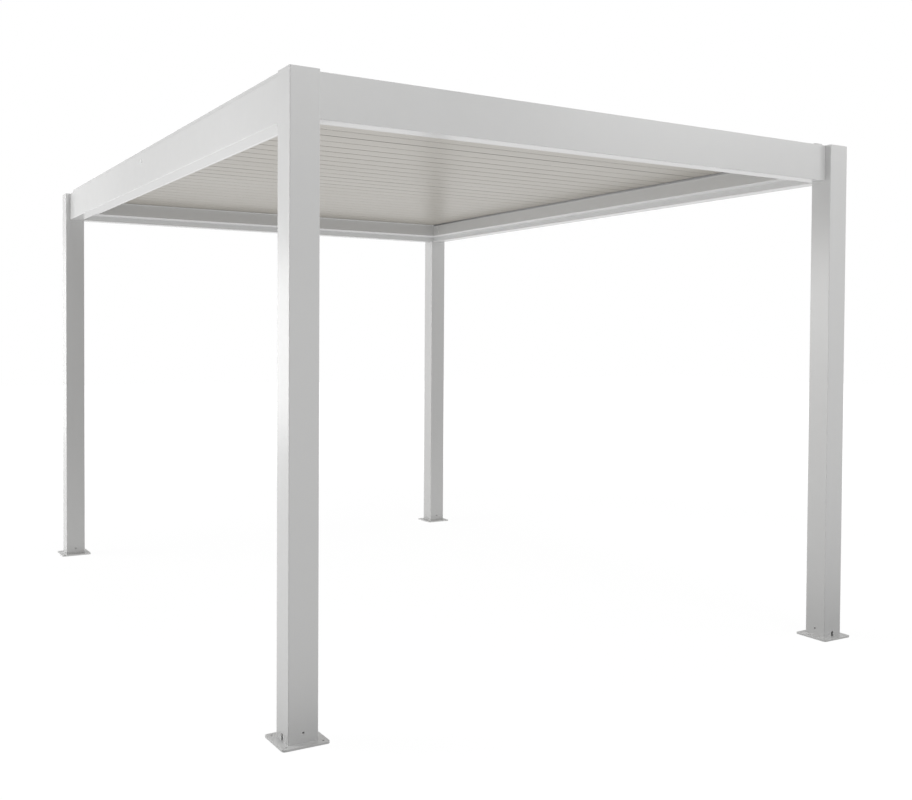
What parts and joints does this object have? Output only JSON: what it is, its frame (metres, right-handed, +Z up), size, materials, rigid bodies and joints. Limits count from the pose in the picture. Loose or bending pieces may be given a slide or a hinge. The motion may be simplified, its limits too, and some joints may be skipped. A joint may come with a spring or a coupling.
{
  "type": "louvered pergola",
  "caption": "Free-standing louvered pergola: square posts on bolted foot plates, a ring of hollow beams, a perimeter gutter and a roof of pivoting blades.",
  "frame": {"origin": "on the ground at the middle of the plan", "axes": "+X to the right along the front beam and along the blades, +Y from front to back along the longer side, +Z up"},
  "size_m": [3.07, 4.27, 2.523],
  "materials": {
    "frame_paint": "white powder coat, satin",
    "plate_paint": "white powder coat, satin",
    "louver_paint": "warm light grey powder coat, satin",
    "rail_metal": "plain mill finish"
  },
  "bodies": {
    "frame": {"front_left_post": "frame_paint", "front_right_post": "frame_paint", "back_left_post": "frame_paint", "back_right_post": "frame_paint", "base_plates": "plate_paint", "post_caps": "frame_paint", "front_beam": "frame_paint", "back_beam": "frame_paint", "left_beam": "frame_paint", "right_beam": "frame_paint", "front_gutter": "frame_paint", "back_gutter": "frame_paint", "left_gutter": "frame_paint", "right_gutter": "frame_paint", "pivot_rails": "rail_metal"},
    "louver_01": {"louver_01": "louver_paint"},
    "louver_02": {"louver_02": "louver_paint"},
    "louver_03": {"louver_03": "louver_paint"},
    "louver_04": {"louver_04": "louver_paint"},
    "louver_05": {"louver_05": "louver_paint"},
    "louver_06": {"louver_06": "louver_paint"},
    "louver_07": {"louver_07": "louver_paint"},
    "louver_08": {"louver_08": "louver_paint"},
    "louver_09": {"louver_09": "louver_paint"},
    "louver_10": {"louver_10": "louver_paint"},
    "louver_11": {"louver_11": "louver_paint"},
    "louver_12": {"louver_12": "louver_paint"},
    "louver_13": {"louver_13": "louver_paint"},
    "louver_14": {"louver_14": "louver_paint"},
    "louver_15": {"louver_15": "louver_paint"},
    "louver_16": {"louver_16": "louver_paint"},
    "louver_17": {"louver_17": "louver_paint"},
    "louver_18": {"louver_18": "louver_paint"},
    "louver_19": {"louver_19": "louver_paint"},
    "louver_20": {"louver_20": "louver_paint"},
    "louver_21": {"louver_21": "louver_paint"},
    "louver_22": {"louver_22": "louver_paint"},
    "louver_23": {"louver_23": "louver_paint"},
    "louver_24": {"louver_24": "louver_paint"},
    "louver_25": {"louver_25": "louver_paint"},
    "louver_26": {"louver_26": "louver_paint"},
    "louver_27": {"louver_27": "louver_paint"},
    "louver_28": {"louver_28": "louver_paint"},
    "louver_29": {"louver_29": "louver_paint"},
    "link_bar": {"link_bar": "rail_metal"}
  },
  "joints": [
    {"name": "turn_louver_01", "type": "hinge", "parent": "frame", "child": "louver_01", "pos_m": [0, -1.76835, 2.448], "axis": [1, 0, 0], "range_deg": [0, 90]},
    {"name": "turn_louver_02", "type": "hinge", "parent": "frame", "child": "louver_02", "pos_m": [0, -1.64103, 2.448], "axis": [1, 0, 0], "range_deg": [0, 90]},
    {"name": "turn_louver_03", "type": "hinge", "parent": "frame", "child": "louver_03", "pos_m": [0, -1.51372, 2.448], "axis": [1, 0, 0], "range_deg": [0, 90]},
    {"name": "turn_louver_04", "type": "hinge", "parent": "frame", "child": "louver_04", "pos_m": [0, -1.38641, 2.448], "axis": [1, 0, 0], "range_deg": [0, 90]},
    {"name": "turn_louver_05", "type": "hinge", "parent": "frame", "child": "louver_05", "pos_m": [0, -1.2591, 2.448], "axis": [1, 0, 0], "range_deg": [0, 90]},
    {"name": "turn_louver_06", "type": "hinge", "parent": "frame", "child": "louver_06", "pos_m": [0, -1.13179, 2.448], "axis": [1, 0, 0], "range_deg": [0, 90]},
    {"name": "turn_louver_07", "type": "hinge", "parent": "frame", "child": "louver_07", "pos_m": [0, -1.00448, 2.448], "axis": [1, 0, 0], "range_deg": [0, 90]},
    {"name": "turn_louver_08", "type": "hinge", "parent": "frame", "child": "louver_08", "pos_m": [0, -0.87717, 2.448], "axis": [1, 0, 0], "range_deg": [0, 90]},
    {"name": "turn_louver_09", "type": "hinge", "parent": "frame", "child": "louver_09", "pos_m": [0, -0.74986, 2.448], "axis": [1, 0, 0], "range_deg": [0, 90]},
    {"name": "turn_louver_10", "type": "hinge", "parent": "frame", "child": "louver_10", "pos_m": [0, -0.62255, 2.448], "axis": [1, 0, 0], "range_deg": [0, 90]},
    {"name": "turn_louver_11", "type": "hinge", "parent": "frame", "child": "louver_11", "pos_m": [0, -0.49524, 2.448], "axis": [1, 0, 0], "range_deg": [0, 90]},
    {"name": "turn_louver_12", "type": "hinge", "parent": "frame", "child": "louver_12", "pos_m": [0, -0.36793, 2.448], "axis": [1, 0, 0], "range_deg": [0, 90]},
    {"name": "turn_louver_13", "type": "hinge", "parent": "frame", "child": "louver_13", "pos_m": [0, -0.24062, 2.448], "axis": [1, 0, 0], "range_deg": [0, 90]},
    {"name": "turn_louver_14", "type": "hinge", "parent": "frame", "child": "louver_14", "pos_m": [0, -0.11331, 2.448], "axis": [1, 0, 0], "range_deg": [0, 90]},
    {"name": "turn_louver_15", "type": "hinge", "parent": "frame", "child": "louver_15", "pos_m": [0, 0.014, 2.448], "axis": [1, 0, 0], "range_deg": [0, 90]},
    {"name": "turn_louver_16", "type": "hinge", "parent": "frame", "child": "louver_16", "pos_m": [0, 0.14131, 2.448], "axis": [1, 0, 0], "range_deg": [0, 90]},
    {"name": "turn_louver_17", "type": "hinge", "parent": "frame", "child": "louver_17", "pos_m": [0, 0.26862, 2.448], "axis": [1, 0, 0], "range_deg": [0, 90]},
    {"name": "turn_louver_18", "type": "hinge", "parent": "frame", "child": "louver_18", "pos_m": [0, 0.39593, 2.448], "axis": [1, 0, 0], "range_deg": [0, 90]},
    {"name": "turn_louver_19", "type": "hinge", "parent": "frame", "child": "louver_19", "pos_m": [0, 0.52324, 2.448], "axis": [1, 0, 0], "range_deg": [0, 90]},
    {"name": "turn_louver_20", "type": "hinge", "parent": "frame", "child": "louver_20", "pos_m": [0, 0.65055, 2.448], "axis": [1, 0, 0], "range_deg": [0, 90]},
    {"name": "turn_louver_21", "type": "hinge", "parent": "frame", "child": "louver_21", "pos_m": [0, 0.77786, 2.448], "axis": [1, 0, 0], "range_deg": [0, 90]},
    {"name": "turn_louver_22", "type": "hinge", "parent": "frame", "child": "louver_22", "pos_m": [0, 0.90517, 2.448], "axis": [1, 0, 0], "range_deg": [0, 90]},
    {"name": "turn_louver_23", "type": "hinge", "parent": "frame", "child": "louver_23", "pos_m": [0, 1.03248, 2.448], "axis": [1, 0, 0], "range_deg": [0, 90]},
    {"name": "turn_louver_24", "type": "hinge", "parent": "frame", "child": "louver_24", "pos_m": [0, 1.15979, 2.448], "axis": [1, 0, 0], "range_deg": [0, 90]},
    {"name": "turn_louver_25", "type": "hinge", "parent": "frame", "child": "louver_25", "pos_m": [0, 1.2871, 2.448], "axis": [1, 0, 0], "range_deg": [0, 90]},
    {"name": "turn_louver_26", "type": "hinge", "parent": "frame", "child": "louver_26", "pos_m": [0, 1.41441, 2.448], "axis": [1, 0, 0], "range_deg": [0, 90]},
    {"name": "turn_louver_27", "type": "hinge", "parent": "frame", "child": "louver_27", "pos_m": [0, 1.54172, 2.448], "axis": [1, 0, 0], "range_deg": [0, 90]},
    {"name": "turn_louver_28", "type": "hinge", "parent": "frame", "child": "louver_28", "pos_m": [0, 1.66903, 2.448], "axis": [1, 0, 0], "range_deg": [0, 90]},
    {"name": "turn_louver_29", "type": "hinge", "parent": "frame", "child": "louver_29", "pos_m": [0, 1.79635, 2.448], "axis": [1, 0, 0], "range_deg": [0, 90]},
    {"name": "turn_link_bar", "type": "hinge", "parent": "louver_01", "child": "link_bar", "pos_m": [0, -1.78956, 2.42679], "axis": [-1, 0, 0], "range_deg": [0, 90]}
  ],
  "couplings": [
    {"joint": "turn_louver_02", "follows": "turn_louver_01", "ratio": 1},
    {"joint": "turn_louver_03", "follows": "turn_louver_01", "ratio": 1},
    {"joint": "turn_louver_04", "follows": "turn_louver_01", "ratio": 1},
    {"joint": "turn_louver_05", "follows": "turn_louver_01", "ratio": 1},
    {"joint": "turn_louver_06", "follows": "turn_louver_01", "ratio": 1},
    {"joint": "turn_louver_07", "follows": "turn_louver_01", "ratio": 1},
    {"joint": "turn_louver_08", "follows": "turn_louver_01", "ratio": 1},
    {"joint": "turn_louver_09", "follows": "turn_louver_01", "ratio": 1},
    {"joint": "turn_louver_10", "follows": "turn_louver_01", "ratio": 1},
    {"joint": "turn_louver_11", "follows": "turn_louver_01", "ratio": 1},
    {"joint": "turn_louver_12", "follows": "turn_louver_01", "ratio": 1},
    {"joint": "turn_louver_13", "follows": "turn_louver_01", "ratio": 1},
    {"joint": "turn_louver_14", "follows": "turn_louver_01", "ratio": 1},
    {"joint": "turn_louver_15", "follows": "turn_louver_01", "ratio": 1},
    {"joint": "turn_louver_16", "follows": "turn_louver_01", "ratio": 1},
    {"joint": "turn_louver_17", "follows": "turn_louver_01", "ratio": 1},
    {"joint": "turn_louver_18", "follows": "turn_louver_01", "ratio": 1},
    {"joint": "turn_louver_19", "follows": "turn_louver_01", "ratio": 1},
    {"joint": "turn_louver_20", "follows": "turn_louver_01", "ratio": 1},
    {"joint": "turn_louver_21", "follows": "turn_louver_01", "ratio": 1},
    {"joint": "turn_louver_22", "follows": "turn_louver_01", "ratio": 1},
    {"joint": "turn_louver_23", "follows": "turn_louver_01", "ratio": 1},
    {"joint": "turn_louver_24", "follows": "turn_louver_01", "ratio": 1},
    {"joint": "turn_louver_25", "follows": "turn_louver_01", "ratio": 1},
    {"joint": "turn_louver_26", "follows": "turn_louver_01", "ratio": 1},
    {"joint": "turn_louver_27", "follows": "turn_louver_01", "ratio": 1},
    {"joint": "turn_louver_28", "follows": "turn_louver_01", "ratio": 1},
    {"joint": "turn_louver_29", "follows": "turn_louver_01", "ratio": 1},
    {"joint": "turn_link_bar", "follows": "turn_louver_01", "ratio": 1}
  ]
}
